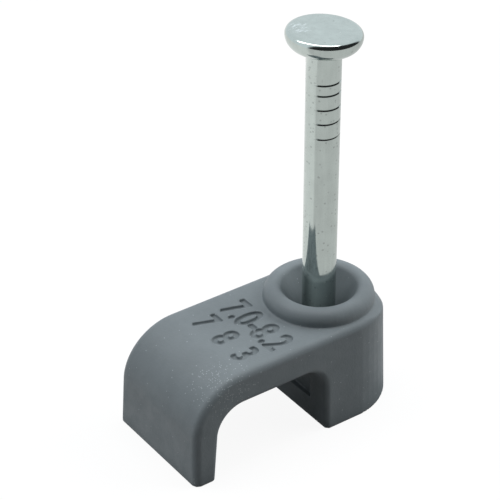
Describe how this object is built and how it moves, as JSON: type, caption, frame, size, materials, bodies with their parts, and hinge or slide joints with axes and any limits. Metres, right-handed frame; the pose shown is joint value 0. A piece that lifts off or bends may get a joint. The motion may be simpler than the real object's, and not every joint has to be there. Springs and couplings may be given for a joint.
{
  "type": "nail-in cable clip",
  "caption": "Moulded grey plastic hook that holds a flat twin cable against a wall, with a zinc-plated steel nail pre-inserted through the rolled collar of its post.",
  "frame": {"origin": "where the nail's axis meets the wall plane under the clip", "axes": "+Z along the nail away from the wall, +X from the leg towards the post's round end, Y along the cable"},
  "size_m": [0.0169, 0.0086, 0.026],
  "materials": {
    "grey_plastic": "matte moulded, finely textured",
    "zinc_plate": "bright zinc plate with fine scuffs"
  },
  "bodies": {
    "root": {"clip_body": "grey_plastic", "nail": "zinc_plate"}
  },
  "joints": []
}
